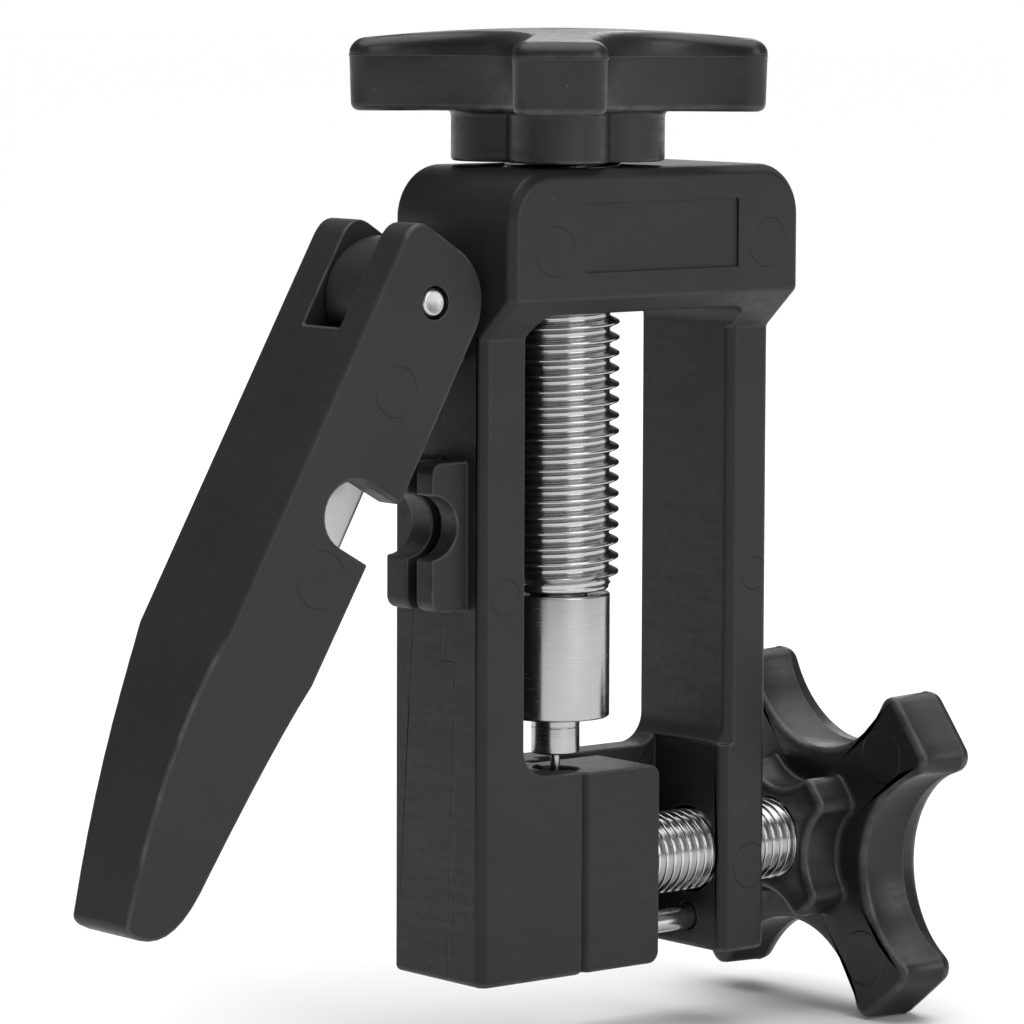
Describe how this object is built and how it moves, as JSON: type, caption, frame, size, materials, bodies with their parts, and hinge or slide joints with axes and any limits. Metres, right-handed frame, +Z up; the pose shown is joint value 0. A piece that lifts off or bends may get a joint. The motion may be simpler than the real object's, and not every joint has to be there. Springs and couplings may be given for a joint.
{
  "type": "brake hose cutter and connector press",
  "caption": "Hand tool for hydraulic brake hose: a moulded frame with a press spindle, a screw-closed hose clamp and a hinged cutter lever.",
  "frame": {"origin": "on the underside of the frame's back wall, behind the press axis", "axes": "+Z up along the press spindle, +X towards the side screw's knob, +Y out of the frame's flat back"},
  "size_m": [0.0936, 0.0364, 0.0986],
  "materials": {
    "nylon": "black glass-filled nylon with a fine satin grain",
    "knob_plastic": "black moulded plastic, slightly smoother than the frame",
    "plating": "bright nickel plating on cut threads",
    "polished_steel": "turned and polished steel",
    "steel": "plain machined steel",
    "blade_steel": "ground blade steel"
  },
  "bodies": {
    "frame_body": {"frame": "nylon", "spindle_nut": "steel", "clamp_nut": "steel", "hinge_pin": "steel"},
    "press_head": {"swivel_collar": "polished_steel", "collar_set_screw": "steel", "needle_holder": "polished_steel", "needle_pin": "polished_steel"},
    "spindle": {"spindle_screw": "plating", "spindle_knob": "knob_plastic"},
    "jaw": {"movable_jaw": "nylon", "guide_pin": "plating", "screw_clip": "steel"},
    "clamp": {"clamp_screw": "plating", "clamp_knob": "knob_plastic"},
    "lever": {"cutter_lever": "nylon", "blade": "blade_steel", "blade_pin_lower": "steel", "blade_pin_upper": "steel"}
  },
  "joints": [
    {"name": "press_slide", "type": "slide", "parent": "frame_body", "child": "press_head", "axis": [0, 0, 1], "range_m": [0, 0.025]},
    {"name": "spindle_turn", "type": "hinge", "parent": "press_head", "child": "spindle", "pos_m": [0, -0.0075, 0.078], "axis": [0, 0, 1], "range_deg": [0, 6001]},
    {"name": "jaw_slide", "type": "slide", "parent": "frame_body", "child": "jaw", "axis": [1, 0, 0], "range_m": [0, 0.0065]},
    {"name": "clamp_turn", "type": "hinge", "parent": "jaw", "child": "clamp", "pos_m": [0.0288, -0.0064, 0.0098], "axis": [1, 0, 0], "range_deg": [0, 2341]},
    {"name": "lever_hinge", "type": "hinge", "parent": "frame_body", "child": "lever", "pos_m": [-0.01907, -0.0058, 0.06555], "axis": [0, 1, 0], "range_deg": [-29.5, 60.5]}
  ],
  "couplings": [
    {"joint": "spindle_turn", "follows": "press_slide", "rad_per_m": 4188.8},
    {"joint": "clamp_turn", "follows": "jaw_slide", "rad_per_m": 6283.2}
  ]
}
